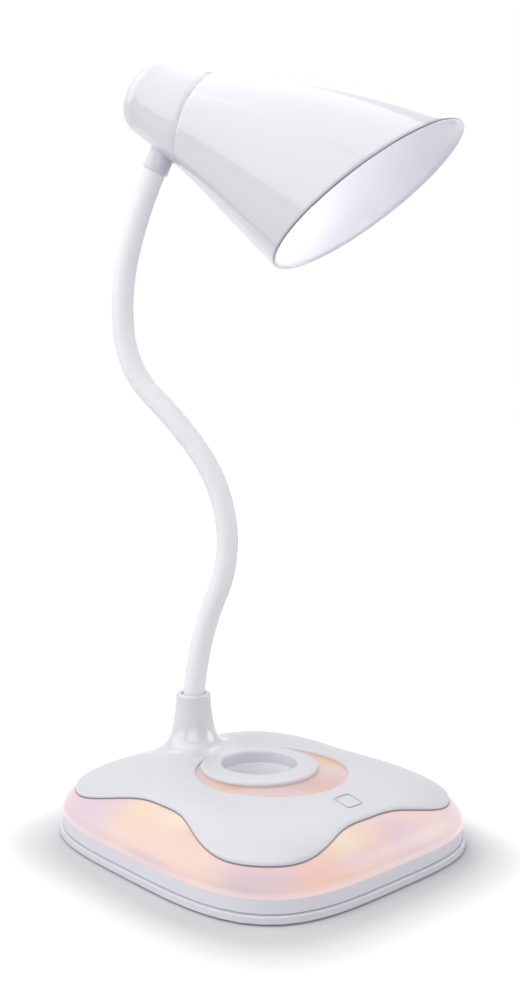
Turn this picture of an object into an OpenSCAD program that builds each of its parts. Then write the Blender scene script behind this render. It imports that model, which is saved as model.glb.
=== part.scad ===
// Gooseneck desk lamp with a glowing rounded-square base.
// Millimetres, +Z up. Origin: centre of the base on the desk.
// The lamp's front is -Y and the neck stands at the back, at +Y.

/* [Base] */
// Width of the base, left to right
base_w = 150; // [130:1:180]
// Depth of the base, front to back
base_d = 166; // [140:1:200]
// How square the outline is (2 is an ellipse)
square_n = 3.7; // [2.6:0.1:5]
// Height of the line between band and light shell
line_z = 9.7; // [8.5:0.1:13]
// Height of the light shell above that line
crown_h = 21.8; // [18:0.1:26]
// How far the bottom lip stands proud of the band
lip_out = 1.3; // [1:0.1:2.4]
// Height of the rubber feet below the cover
foot_h = 0.8; // [0.5:0.1:2]

/* [Top panel] */
// Thickness of the top panel
panel_t = 1.3; // [1:0.1:2]
// Reach of the four lobes, as a share of the half width
lobe_reach = 0.935; // [0.88:0.005:0.95]
// Reach of the hollow between the lobes at each side
side_hollow = 0.755; // [0.68:0.005:0.82]
// Reach of the hollow between the lobes at the front
front_hollow = 0.81; // [0.72:0.01:0.85]
// Radius of the crescent's outer edge
crescent_r = 35; // [32:0.5:37]
// How far the crescent's circle is set to the front
crescent_y = 8.4; // [8:0.1:9.2]

/* [Pen cup] */
// Radius of the pen hole
cup_r = 17.5; // [15:0.1:18]
// Outer radius of the ring round it
ring_r = 27.4; // [27:0.1:28]

/* [Gooseneck] */
// Distance of the neck behind the centre
neck_y = 48.2; // [46:0.2:50]
// Height of the socket's rim
socket_z = 58; // [52:1:64]
// Radius of the sleeve
sleeve_r = 5.3; // [4.8:0.1:5.6]
// Turn of the neck's plane about the upright, towards the right
neck_turn = 28; // [0:1:40]

/* [Shade] */
// Half length of the mouth, along its slant
mouth_a = 52.2; // [46:0.1:56]
// Half width of the mouth
mouth_b = 42.8; // [40:0.1:48]
// Wall of the shade
shade_t = 1.8; // [1.4:0.1:2.4]

/* [Hidden] */

$fn = 72;
eps = 0.01;
half_w = base_w / 2;
half_d = base_d / 2;

// Crown profile: height falls from the centre to the line as (1 - g^3)^0.43
crown_m = 3.0;
crown_p = 0.43;
shell_t = 2;
panel_gap = 0.35;
cover_z = foot_h;
floor_z = cover_z + 2;
lip_top = 3.7;
boss_x = 52;
boss_y = 60;
ring_top = 34.3;
ring_low = 31.6;
eye_r = 21.4;
foot_r = 22;
flare_c = 68.6;
flare_r = 6.5;
touch_x = 0.4;
touch_y = -55.4;

// The neck's path: arcs that run on from each other, bottom to top, as
// length and turn (positive leans it further to the front)
neck_start = [-0.6, 38];
arc_len = [36.6, 35.2, 35.3, 36.4, 36.8, 36.6, 41.1, 44.5];
arc_turn = [10.2, 13.2, -31.2, -28.3, -11.2, 41.7, 21.6, 11.4];
ball_r = sleeve_r - 0.35;
seat_r = sleeve_r - 0.05;
joint_gap = 2.2;
core_r = 3.7;
wire_r = 2.5;

// The head: where cap and shade meet, and how far its axis dips
head_s = 6.1;
head_z = 332.9;
head_dip = 26.3;
joint_r = 23.9;
mouth_s = 86.8;
mouth_z = 292.7;
mouth_tilt = 34.9;
bend_s = 44.6;
bend_z = 317.6;
cap_len = 32.2;

// ---- Outline and crown of the base ----

function rim_k(t) = pow(pow(abs(cos(t)), square_n) + pow(abs(sin(t)), square_n), -1 / square_n);
function rim_pt(t, grow = 0) = [
    (half_w + grow) * cos(t) * rim_k(t), (half_d + grow) * sin(t) * rim_k(t)
];
function gauge(p) = pow(
    pow(abs(p[0]) / half_w, square_n) + pow(abs(p[1]) / half_d, square_n), 1 / square_n);
function crown_k(g) = pow(max(0, 1 - pow(min(g, 1), crown_m)), crown_p);
function crown_z(p) = line_z + crown_h * crown_k(gauge(p));
function mix(a, b, k) = a * (1 - k) + b * k;

// Reach of the panel at outline angle t: lobes at the corners, hollows
// between them, and none behind the neck
function wave(t) = (cos(4 * t) - 0.12 * cos(12 * t)) / 0.88;
function back_fill(t) = pow(max(0, sin(t)), 8);
function hollow(t) = mix(side_hollow, front_hollow, pow(sin(t), 2));
function panel_reach(t) = lobe_reach
    - (lobe_reach - hollow(t)) * (1 + wave(t)) / 2 * (1 - back_fill(t));

// Distance from the origin to the crescent's outer circle, in direction a
function crescent_reach(a) = -crescent_y * sin(a)
    + sqrt(pow(crescent_r, 2) - pow(crescent_y * cos(a), 2));

module outline(grow = 0) {
    polygon([for (i = [0:71]) rim_pt(i * 5, grow)]);
}

// A closed skin through loops of points, the last joined to the first
module loop_skin(loops) {
    m = len(loops);
    n = len(loops[0]);
    faces = [
        for (i = [0:m - 1], j = [0:n - 1], h = [0, 1])
            let (i2 = (i + 1) % m, j2 = (j + 1) % n)
            h == 0 ? [i * n + j, i * n + j2, i2 * n + j2]
                   : [i * n + j, i2 * n + j2, i2 * n + j]
    ];
    polyhedron([for (l = loops, p = l) p], faces);
}

// ---- Base ----

module bottom_cover() {
    color("whitesmoke")
    difference() {
        union() {
            translate([0, 0, cover_z]) linear_extrude(floor_z - cover_z) outline(lip_out);
            translate([0, 0, floor_z]) linear_extrude(lip_top - floor_z)
                difference() {
                    outline(lip_out);
                    outline(-3.8);
                }
            translate([0, 0, floor_z]) linear_extrude(5.8)
                difference() {
                    outline(-2.4);
                    outline(-3.8);
                }
            for (x = [-1, 1], y = [-1, 1])
                translate([x * boss_x, y * boss_y, floor_z - eps]) cylinder(h = 6.2, r = 3.6);
            for (x = [-58, -28], y = [-6, 40])
                translate([x, y, floor_z - eps]) cylinder(h = 4.2 + eps, r = 2.2);
            translate([-6, 65, floor_z - eps]) cube([12, 10, 1.2 + eps]);
        }
        for (x = [-1, 1], y = [-1, 1])
            translate([x * boss_x, y * boss_y, 0]) {
                cylinder(h = 12, r = 1.7);
                cylinder(h = cover_z + 1.6, r = 3.1);
            }
        translate([-9, 76, floor_z + 0.4]) cube([18, 12, 8]);
        at_feet() cylinder(h = cover_z + 0.6, r = 6.2);
    }
}

// Four feet near the corners, and a fifth that backs the floor of the pen cup
module at_feet() {
    for (p = [[54, 44], [-54, 44], [54, -44], [-54, -44], [0, 0]])
        translate([p[0], p[1], 0]) children();
}

module feet() {
    color("dimgray")
    at_feet() cylinder(h = cover_z + 0.6, r = 6);
}

module cover_screws() {
    color("silver")
    for (x = [-1, 1], y = [-1, 1])
        translate([x * boss_x, y * boss_y, cover_z + 0.2]) {
            cylinder(h = 1.4, r = 2.8);
            cylinder(h = 11, r = 1.45);
        }
}

module ballast() {
    color("slategray")
    translate([0, 0, floor_z]) linear_extrude(4.5)
        difference() {
            intersection() {
                outline(-6);
                translate([-55, -76]) square([110, 56]);
            }
            for (x = [-1, 1]) translate([x * boss_x, -boss_y]) circle(r = 4.4);
        }
}

module battery() {
    color("steelblue")
    translate([-32.5, -40, floor_z + 4.5 + 9.2]) rotate([0, 90, 0]) {
        cylinder(h = 65, r = 9.2);
        translate([0, 0, 65 - eps]) cylinder(h = 1.2, r = 3);
    }
}

module main_board() {
    color("seagreen")
    translate([0, 0, floor_z + 4.2]) {
        translate([-62, -10, 0]) cube([38, 54, 1.6]);
        translate([-52, 4, 1.6 - eps]) cube([10, 10, 1.6]);
        translate([-38, 20, 1.6 - eps]) cube([8, 12, 2.4]);
        translate([-50, 26, 1.6 - eps]) cylinder(h = 7, r = 3.2);
        translate([-34, 4, 1.6 - eps]) cube([7, 9, 4.5]);
    }
}

module charge_board() {
    color("seagreen")
    translate([-8, 64, floor_z + 1.2]) cube([16, 14.6, 1.2]);
}

module charge_socket() {
    color("silver")
    translate([0, 75, floor_z + 2.4 + 1.63]) rotate([-90, 0, 0]) {
        difference() {
            usb_shape(7.6, 0);
            translate([0, 0, 1.2]) usb_shape(8, -0.35);
        }
        translate([-3.3, -0.35, 1]) cube([6.6, 0.7, 5.6]);
    }
}

// A flat slot with round ends, as deep as h
module usb_shape(h, grow) {
    linear_extrude(h)
        union() {
            translate([-2.87, -1.63 - grow]) square([5.74, 3.26 + 2 * grow]);
            for (x = [-1, 1]) translate([x * 2.87, 0]) circle(r = 1.63 + grow);
        }
}

module housing_band() {
    color("white")
    difference() {
        union() {
            translate([0, 0, lip_top + 0.5]) linear_extrude(line_z - lip_top - 0.5)
                difference() {
                    outline(0);
                    outline(-2);
                }
            translate([0, 0, lip_top]) linear_extrude(0.6)
                difference() {
                    outline(-0.9);
                    outline(-2);
                }
            for (x = [-1, 1], y = [-1, 1])
                translate([x * boss_x, y * boss_y, floor_z + 6.2]) {
                    cylinder(h = 6, r = 4);
                    rotate([0, 0, x * y > 0 ? 45 : -45])
                        translate([x > 0 ? 0 : -11.2, -1, 0]) cube([11.2, 2, 0.6]);
                }
        }
        for (x = [-1, 1], y = [-1, 1])
            translate([x * boss_x, y * boss_y, 8]) cylinder(h = 5.4, r = 1.5);
        translate([0, 90, floor_z + 4.03]) rotate([90, 0, 0]) usb_shape(20, 0.25);
    }
}

module glow_board() {
    color("honeydew")
    translate([0, 0, floor_z + 5.8]) linear_extrude(1.2)
        difference() {
            outline(-2.6);
            outline(-14);
            for (x = [-1, 1], y = [-1, 1])
                translate([x * boss_x, y * boss_y]) circle(r = 4.4);
            for (x = [-1, 1], y = [-1, 1])
                translate([x * boss_x, y * boss_y])
                    rotate([0, 0, x * y > 0 ? 45 : -45])
                        translate([x > 0 ? 0 : -30, -1.6]) square([30, 3.2]);
        }
}

module glow_leds() {
    color("lightyellow")
    for (q = [0:3], d = [8, 26, 64, 82]) {
        t = 90 * q + d;
        p = rim_pt(t, -8.2);
        translate([p[0], p[1], floor_z + 7]) rotate([0, 0, t])
            translate([-2.5, -2.5, 0]) cube([5, 5, 1.6]);
    }
}

// Rings of the light shell: u runs from the centre hole to the outline
function shell_w(u) = 1 - pow(1 - u, 1.7);
function shell_ring(u, inset) = [
    for (i = [0:63])
        let (
            t = i * 5.625,
            e = rim_pt(t, -inset),
            a = atan2(e[1], e[0]),
            r = mix(eye_r, norm(e), shell_w(u)),
            p = [r * cos(a), r * sin(a)],
            g = mix(gauge([eye_r * cos(a), eye_r * sin(a)]), 1, shell_w(u))
        )
        [p[0], p[1], line_z + (crown_h - inset) * crown_k(g)]
];

module light_shell() {
    rings = 10;
    color("mistyrose")
    difference() {
        loop_skin(concat(
            [for (k = [0:rings]) shell_ring(k / rings, 0)],
            [for (k = [rings:-1:0]) shell_ring(k / rings, shell_t)]
        ));
        translate([0, neck_y, 10]) cylinder(h = 40, r = 11.2);
    }
}

function panel_ring(u, lift) = [
    for (i = [0:71])
        let (
            t = i * 5,
            e = rim_pt(t),
            a = atan2(e[1], e[0]),
            r = mix(crescent_reach(a), norm(e) * panel_reach(t), u),
            p = [r * cos(a), r * sin(a)]
        )
        [p[0], p[1], crown_z(p) + panel_gap + lift]
];

// Height of the socket's flare above the panel at radius r
function flare(r) = flare_c * (1 / (r - flare_r) - 1 / (foot_r - flare_r)
    + (r - foot_r) / pow(foot_r - flare_r, 2));
function level(r) = pow(min(1, max(0, (r - 8.5) / (foot_r - 8.5))), 0.8);
function socket_pt(r, a) = [r * cos(a), neck_y + r * sin(a)];
function panel_at(p) = crown_z(p) + panel_gap;
function socket_ring(r, lift) = [
    for (i = [0:47])
        let (a = i * 7.5, p = socket_pt(r, a))
        [p[0], p[1], mix(crown_z([0, neck_y]), crown_z(p), level(r)) + panel_gap + lift]
];
function under_ring(r) = [
    for (i = [0:47]) let (p = socket_pt(r, i * 7.5)) [p[0], p[1], panel_at(p) + 0.2]
];
function flat_ring(r, z) = [
    for (i = [0:47]) let (p = socket_pt(r, i * 7.5)) [p[0], p[1], z]
];

module neck_socket() {
    rim_lift = socket_z - crown_z([0, neck_y]) - panel_gap;
    k = (rim_lift - panel_t) / flare(8.5);
    radii = [8.5, 8.8, 9.2, 9.8, 10.6, 11.7, 13.2, 15, 17, 19.4, 22];
    loop_skin(concat(
        [flat_ring(6, socket_z - 0.5), flat_ring(6.4, socket_z), flat_ring(8.1, socket_z)],
        [for (r = radii) socket_ring(r, panel_t + k * flare(r) - (r == 22 ? 0.15 : 0))],
        [for (r = [22, 16, 11.1]) under_ring(r)],
        [flat_ring(10.6, panel_at([0, neck_y]) - 0.6), flat_ring(10.6, 22)],
        [flat_ring(5.1, 22), flat_ring(5.1, 25), flat_ring(7.4, 25), flat_ring(7.2, socket_z - 5)],
        [flat_ring(6, socket_z - 4)]
    ));
}

module pen_ring() {
    rotate_extrude($fn = 96)
        polygon([
            [cup_r, 28.4], [20.9, 28.4], [20.9, ring_low + 0.6], [26, ring_low + 0.6],
            [26, ring_low], [ring_r, ring_low], [ring_r, ring_low + 1],
            [ring_r - 0.3, ring_low + 1.5], [ring_r - 1.1, ring_low + 1.8],
            [20.6, ring_top - 0.1], [18.9, ring_top], [18.1, ring_top - 0.2], [cup_r, ring_top - 0.9]
        ]);
}

module top_panel() {
    rings = 9;
    color("white")
    union() {
        difference() {
            loop_skin(concat(
                [for (k = [0:rings]) panel_ring(k / rings, panel_t)],
                [for (k = [rings:-1:0]) panel_ring(k / rings, 0)]
            ));
            translate([0, neck_y, 20]) cylinder(h = 20, r = 9);
        }
        neck_socket();
        pen_ring();
    }
}

module pen_cup() {
    color("gainsboro")
    translate([0, 0, floor_z])
        difference() {
            union() {
                cylinder(h = 28.4 - floor_z, r = cup_r + 1.5);
                translate([0, 0, 23]) cylinder(h = 28.4 - floor_z - 23, r = 20.7);
            }
            translate([0, 0, 1.6]) cylinder(h = 30, r = cup_r);
        }
}

// A frame tangent to the panel's top at the touch key
module on_touch(lift) {
    h = 0.5;
    z = crown_z([touch_x, touch_y]);
    dip = atan((crown_z([touch_x, touch_y + h]) - crown_z([touch_x, touch_y - h])) / (2 * h));
    translate([touch_x, touch_y, z + lift]) rotate([dip, 0, 0]) children();
}

module touch_mark() {
    color("silver")
    on_touch(panel_gap + panel_t + 0.04)
        linear_extrude(0.2)
            difference() {
                round_square(9.6, 1.6);
                round_square(8.6, 1.1);
            }
}

module round_square(w, r) {
    square([w - 2 * r, w], center = true);
    square([w, w - 2 * r], center = true);
    for (x = [-1, 1], y = [-1, 1])
        translate([x * (w / 2 - r), y * (w / 2 - r)]) circle(r = r, $fn = 32);
}

module touch_electrode() {
    color("peru")
    on_touch(-2.7) cylinder(h = 0.35, r = 6.5);
}

module neck_stud() {
    color("goldenrod")
    translate([0, neck_y, 0])
        difference() {
            union() {
                translate([0, 0, 15]) cylinder(h = 23, r = 5);
                translate([0, 0, 25]) cylinder(h = 3, r = 7.2);
                translate([0, 0, 38 - eps]) cylinder(h = 7, r = 3);
            }
            translate([0, 0, 14]) cylinder(h = 40, r = wire_r);
        }
}

module neck_washer() {
    color("silver")
    translate([0, neck_y, 21])
        difference() {
            cylinder(h = 1, r = 10);
            translate([0, 0, -1]) cylinder(h = 3, r = 5.2);
        }
}

module neck_nut() {
    color("gold")
    translate([0, neck_y, 16.5])
        difference() {
            cylinder(h = 4.5, r = 9, $fn = 6);
            translate([0, 0, -1]) cylinder(h = 7, r = 5.05);
        }
}

// ---- Gooseneck ----

// The neck's plane: x to the front, y up, z to the left
module in_plane() {
    translate([0, neck_y, 0]) rotate([0, 0, neck_turn]) rotate([90, 0, -90]) children();
}

function sum_to(v, i) = i < 0 ? 0 : v[i] + sum_to(v, i - 1);
function heading(i) = sum_to(arc_turn, i - 1);
function bend_r(i) = arc_len[i] / (arc_turn[i] * PI / 180);
function along(i, d) = let (a = heading(i), t = arc_turn[i] * d / arc_len[i], r = bend_r(i))
    r * [cos(a) - cos(a + t), sin(a + t) - sin(a)];
function joint_at(i) = i == 0 ? neck_start : joint_at(i - 1) + along(i - 1, arc_len[i - 1]);
function turn_at(i, d) = heading(i) + arc_turn[i] * d / arc_len[i];

// A round bar of radius r along arc i, from distance d0 to d1
module bar(i, r, d0, d1) {
    rad = bend_r(i);
    a0 = turn_at(i, d0);
    a1 = turn_at(i, d1);
    a = heading(i);
    c = joint_at(i) + rad * [cos(a), -sin(a)];
    translate([c[0], c[1], 0])
        rotate([0, 0, rad > 0 ? 180 - a1 : -a0])
            rotate_extrude(angle = abs(a1 - a0), $fn = 180)
                translate([abs(rad), 0]) circle(r = r, $fn = 40);
}

// Children stand on the joint below arc i, with +Z along the neck
module on_joint(i) {
    p = joint_at(i);
    translate([p[0], p[1], 0]) rotate([0, 0, -heading(i)]) rotate([-90, 0, 0]) children();
}

// A stretch of sleeve: a seat at the bottom and a ball at the top
module sleeve(i, seat = true, ball = true) {
    color("white")
    in_plane()
        difference() {
            union() {
                bar(i, sleeve_r, 0, arc_len[i]);
                if (ball) on_joint(i + 1) sphere(r = ball_r);
            }
            if (seat) on_joint(i) translate([0, 0, -8])
                cylinder(h = 8 + joint_gap, r = sleeve_r + 2);
            if (seat) on_joint(i) sphere(r = seat_r);
            bar(i, core_r + 0.05, seat ? 6.2 : -1, arc_len[i] + (ball ? -2 : 1));
            bar(i, wire_r, seat ? 3 : 0, arc_len[i] + (ball ? 6 : 0));
        }
}

module core(i, d0 = 6.3, d1 = 2.2) {
    color("silver")
    in_plane()
        difference() {
            bar(i, core_r, d0, arc_len[i] - d1);
            bar(i, wire_r + 0.2, d0 - 1, arc_len[i] - d1 + 1);
        }
}

module neck_root() { sleeve(0, seat = false); }
module core_root() { core(0, d0 = 7.6); }
module neck_link_1() { sleeve(1); }
module neck_link_2() { sleeve(2); }
module neck_link_3() { sleeve(3); }
module neck_link_4() { sleeve(4); }
module neck_link_5() { sleeve(5); }
module neck_link_6() { sleeve(6); }
module core_1() { core(1); }
module core_2() { core(2); }
module core_3() { core(3); }
module core_4() { core(4); }
module core_5() { core(5); }
module core_6() { core(6); }
module neck_tip() { sleeve(7, ball = false); }
module core_tip() { core(7, d1 = 1); }

// ---- Head ----

// Children have +Z along the shade's axis and +Y up, from where cap and
// shade meet
module on_head() {
    in_plane()
        translate([head_s, head_z, 0]) rotate([0, 0, -head_dip]) rotate([0, 90, 0]) children();
}

module ferrule() {
    color("white")
    in_plane()
        on_joint(8) translate([0, 0, -6])
            difference() {
                union() {
                    cylinder(h = 21, r = 6.2);
                    cylinder(h = 1.2, r = 6.35);
                }
                translate([0, 0, -1]) cylinder(h = 7, r = sleeve_r + 0.12);
                cylinder(h = 30, r = wire_r);
            }
}

module head_nut() {
    color("gold")
    in_plane()
        on_joint(8) translate([0, 0, 10.6])
            difference() {
                cylinder(h = 4, r = 9.5, $fn = 6);
                translate([0, 0, -1]) cylinder(h = 6, r = 6.25);
            }
}

module rear_cap() {
    color("white")
    difference() {
        union() {
            on_head()
                rotate_extrude($fn = 96)
                    polygon(concat(
                        [[0, -cap_len]],
                        [[8, -cap_len + 0.25]],
                        [for (a = [-80:10:0])
                            [13.6 + 9.2 * cos(a), -cap_len + 9.9 + 9.2 * sin(a)]],
                        [[joint_r, 0], [joint_r - 2, 0], [joint_r - 2.2, 3.5], [joint_r - 3.6, 3.5]],
                        [[joint_r - 3.6, -2], [20.2, -20]],
                        [for (a = [-10:-20:-70])
                            [13 + 7.2 * cos(a), -cap_len + 9.9 + 7.2 * sin(a)]],
                        [[0, -cap_len + 2.2]]
                    ));
            intersection() {
                on_head() translate([0, 0, -cap_len]) cylinder(h = cap_len, r = 21);
                in_plane() on_joint(8) cylinder(h = 10.6, r = 10);
            }
        }
        in_plane() on_joint(8) translate([0, 0, -10]) cylinder(h = 40, r = 6.4);
    }
}

// Sections of the shade, each tilted from square at the cap to the
// slant of the mouth
function bell_c(k) = pow(1 - k, 2) * [head_s, head_z]
    + 2 * k * (1 - k) * [bend_s, bend_z] + k * k * [mouth_s, mouth_z];
function bell_ring(k, inset) = [
    for (i = [0:59])
        let (
            a = i * 6,
            c = bell_c(k),
            tilt = mix(90 - head_dip, mouth_tilt, k),
            u = (mix(joint_r, mouth_a, k) - inset) * cos(a),
            w = (mix(joint_r, mouth_b, k) - inset) * sin(a)
        )
        [c[0] + u * cos(tilt), c[1] + u * sin(tilt), w]
];

module shade() {
    rings = 11;
    color("white")
    in_plane()
        loop_skin(concat(
            [for (k = [rings:-1:0]) bell_ring(k / rings, shade_t)],
            [for (k = [0:rings]) bell_ring(k / rings, 0)]
        ));
}

module oval(a, b) {
    polygon([for (i = [0:71]) [b * cos(i * 5), a * sin(i * 5)]]);
}

function oval_ring(a, b, y, z) = [for (i = [0:47]) [b * cos(i * 7.5), y + a * sin(i * 7.5), z]];

module lamp_plate() {
    color("silver")
    on_head() translate([0, -0.45, 36])
        linear_extrude(1.6)
            difference() {
                oval(32.6, 29.1);
                circle(r = 4);
                for (a = [90, 210, 330]) rotate([0, 0, a]) translate([25.5, 0]) circle(r = 1.7);
            }
}

module lamp_leds() {
    color("lemonchiffon")
    on_head() translate([0, -0.45, 37.6]) {
        for (i = [0:7]) rotate([0, 0, i * 45]) translate([11, -1.5, 0]) cube([3, 3, 0.8]);
        for (i = [0:14]) rotate([0, 0, i * 24 + 6]) translate([19, -1.5, 0]) cube([3, 3, 0.8]);
    }
}

module reflector() {
    color("white")
    on_head()
        loop_skin([
            oval_ring(31.4, 27.7, -0.5, 37.7), oval_ring(32.4, 28.7, -0.5, 37.7),
            oval_ring(37.4, 32.7, -1.6, 54.6), oval_ring(36.2, 31.5, -1.6, 54.6)
        ]);
}

module lens() {
    color("aliceblue")
    on_head() translate([0, -1.7, 54.7]) linear_extrude(2.4) oval(38.3, 33.4);
}

module plate_screws() {
    color("gray")
    on_head() translate([0, -0.45, 31])
        for (a = [90, 210, 330]) rotate([0, 0, a]) translate([25.5, 0, 0]) {
            cylinder(h = 6.7, r = 1.5);
            translate([0, 0, 6.6]) cylinder(h = 1.8, r = 2.8);
        }
}

bottom_cover();
feet();
cover_screws();
ballast();
battery();
main_board();
charge_board();
charge_socket();
housing_band();
glow_board();
glow_leds();
light_shell();
top_panel();
pen_cup();
touch_electrode();
touch_mark();
neck_stud();
neck_washer();
neck_nut();
neck_root();
core_root();
neck_link_1();
neck_link_2();
neck_link_3();
neck_link_4();
neck_link_5();
neck_link_6();
core_1();
core_2();
core_3();
core_4();
core_5();
core_6();
neck_tip();
core_tip();
ferrule();
head_nut();
rear_cap();
shade();
lamp_plate();
lamp_leds();
reflector();
lens();
plate_screws();
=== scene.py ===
import bmesh
import bpy
from math import atan2, cos, hypot, pi, radians, sin
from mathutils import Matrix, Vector


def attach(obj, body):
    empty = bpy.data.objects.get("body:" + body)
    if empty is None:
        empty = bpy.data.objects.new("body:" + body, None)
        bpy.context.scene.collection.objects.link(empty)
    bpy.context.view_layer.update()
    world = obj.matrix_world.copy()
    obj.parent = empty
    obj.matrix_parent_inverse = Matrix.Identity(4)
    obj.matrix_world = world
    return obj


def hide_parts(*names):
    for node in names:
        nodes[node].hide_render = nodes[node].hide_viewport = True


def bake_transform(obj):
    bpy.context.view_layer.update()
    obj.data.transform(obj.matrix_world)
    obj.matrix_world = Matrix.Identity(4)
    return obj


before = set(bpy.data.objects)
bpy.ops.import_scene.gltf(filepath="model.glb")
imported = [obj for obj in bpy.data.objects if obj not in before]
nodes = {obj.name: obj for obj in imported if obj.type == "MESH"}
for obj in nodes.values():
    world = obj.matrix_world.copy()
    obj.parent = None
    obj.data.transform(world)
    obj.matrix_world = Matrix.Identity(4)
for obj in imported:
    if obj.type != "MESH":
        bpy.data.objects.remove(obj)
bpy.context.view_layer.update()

# ---- Sizes of the lamp, in millimetres; most are those of the part's source ----

HALF_W, HALF_D, SQUARE_N = 75.0, 83.0, 3.7
# The crown falls from the centre to the line as (1 - g ** CROWN_M) ** CROWN_P
LINE_Z, CROWN_H, CROWN_M, CROWN_P = 9.7, 21.8, 3.0, 0.43
SHELL_T = 1.9
# The panel's reach as a share of the way to the outline: in the lobes, and in the hollows
# at the sides and the front; LOBE_FLAT flattens the lobes' crests
LOBE, SIDE_HOLLOW, FRONT_HOLLOW, LOBE_FLAT = 0.935, 0.755, 0.81, 0.12
CRESCENT_R, CRESCENT_Y = 35.0, 8.4
PANEL_LIFT, PANEL_T = 0.35, 1.3
CUP_R, RING_R, RING_LOW, RING_TOP, EYE_R = 17.5, 27.4, 31.6, 34.3, 21.4
# The neck's socket: its place, its rim, the foot of its flare and the hole in the shell
NECK_Y, SOCKET_Z, SOCKET_R, FOOT_R, NECK_HOLE = 48.2, 58.0, 8.5, 22.0, 12.5
FLARE_C, FLARE_R = 68.6, 6.5
# The sleeve's radii, and how far along the neck a bend spreads on either side of a joint
SLEEVE_R, SLEEVE_IN, BEND_REACH = 5.3, 3.8, 14.0
# The neck's arcs from the bottom to the top: where the first starts in the neck's plane,
# their lengths, and their turns in degrees, positive towards the front
NECK_START = (-0.6, 38.0)
ARC_LEN = [36.6, 35.2, 35.3, 36.4, 36.8, 36.6, 41.1, 44.5]
ARC_TURN = [10.2, 13.2, -31.2, -28.3, -11.2, 41.7, 21.6, 11.4]
NECK_TURN = radians(28)
# Where cap and shade meet, how far the head's axis dips, and the radius there
HEAD_S, HEAD_Z, HEAD_DIP, JOINT_R = 6.1, 332.9, 26.3, 23.9
# The cap's length, the rounding of its back and the straight run before it; its taper, the
# rise of its underside, the lean of its back and its wall
CAP_LEN, CAP_ROUND = 36.2, 10.0
CAP_RUN = CAP_LEN - CAP_ROUND
CAP_TAPER, CAP_RISE, CAP_LEAN, CAP_WALL = 4.25, 2.15, 0.075, 2.0
MOUTH_S, MOUTH_Z, MOUTH_TILT = 86.8, 292.7, 34.9
MOUTH_A, MOUTH_B, SHADE_T = 52.2, 42.8, 1.8
BEND_S, BEND_Z = 44.6, 317.6
# Sides of the round sections, and the step between the rings along the neck
DOME_SIDES, PANEL_SIDES, SOCKET_SIDES = 240, 288, 96
SLEEVE_SIDES, HEAD_SIDES, LAMP_SIDES = 48, 144, 120
RING_STEP = 1.0


def mix(a, b, k):
    return a * (1 - k) + b * k


def turns_of(sides):
    """The angles of a round section's corners."""
    return [2 * pi * i / sides for i in range(sides)]


def rim_point(t):
    """The base's outline at angle t."""
    k = (abs(cos(t)) ** SQUARE_N + abs(sin(t)) ** SQUARE_N) ** (-1 / SQUARE_N)
    return Vector((HALF_W * cos(t) * k, HALF_D * sin(t) * k))


def crown_z(x, y):
    """Height of the shell's crown; the gauge is 0 at the centre and 1 on the outline."""
    gauge = ((abs(x) / HALF_W) ** SQUARE_N + (abs(y) / HALF_D) ** SQUARE_N) ** (1 / SQUARE_N)
    return LINE_Z + CROWN_H * max(0.0, 1 - min(gauge, 1.0) ** CROWN_M) ** CROWN_P


def panel_reach(t):
    """Share of the way to the outline that the panel reaches at angle t."""
    wave = (cos(4 * t) - LOBE_FLAT * cos(12 * t)) / (1 - LOBE_FLAT)
    hollow = mix(SIDE_HOLLOW, FRONT_HOLLOW, sin(t) ** 2)
    back = max(0.0, sin(t)) ** 8
    return LOBE - (LOBE - hollow) * (1 + wave) / 2 * (1 - back)


def crescent_reach(a):
    """Distance from the origin to the crescent's outer circle in direction a."""
    return -CRESCENT_Y * sin(a) + (CRESCENT_R ** 2 - (CRESCENT_Y * cos(a)) ** 2) ** 0.5


def in_plane(s, z, side=0.0):
    """A point of the neck's plane: s to the front, z up, side to the left."""
    c, d = cos(NECK_TURN), sin(NECK_TURN)
    return Vector((s * d - side * c, NECK_Y - s * c - side * d, z))


def head_frame(p):
    """From the shade's own frame, +Z along its axis and +Y up, to the lamp's."""
    c, d = cos(radians(HEAD_DIP)), sin(radians(HEAD_DIP))
    s = HEAD_S + p[2] * c + p[1] * d
    z = HEAD_Z - p[2] * d + p[1] * c
    return in_plane(s, z, -p[0])


# ---- Meshes ----

def first_ring(bm, points):
    """A closed ring of vertices on the given points."""
    made = bmesh.ops.create_circle(bm, segments=len(points), radius=1.0)["verts"]
    for vert, point in zip(made, points):
        vert.co = point
    return made


def next_ring(bm, ring, points):
    """Extrudes a ring and moves the new one onto the given points."""
    count = len(ring)
    edges = [bm.edges.get((ring[i], ring[(i + 1) % count])) for i in range(count)]
    out = bmesh.ops.extrude_edge_only(bm, edges=edges)["geom"]
    fresh = {v for v in out if isinstance(v, bmesh.types.BMVert)}
    new = [next(e.other_vert(v) for e in v.link_edges if e.other_vert(v) in fresh) for v in ring]
    for vert, point in zip(new, points):
        vert.co = point
    return new


def skin(bm, rings, closed=False):
    """A skin through rings of points; closed joins the last ring to the first."""
    made = [first_ring(bm, rings[0])]
    for points in rings[1:]:
        made.append(next_ring(bm, made[-1], points))
    if closed:
        count = len(rings[0])
        ends = [bm.edges.get((r[i], r[(i + 1) % count])) for r in (made[-1], made[0])
                for i in range(count)]
        bmesh.ops.bridge_loops(bm, edges=ends)
    return made


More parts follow.
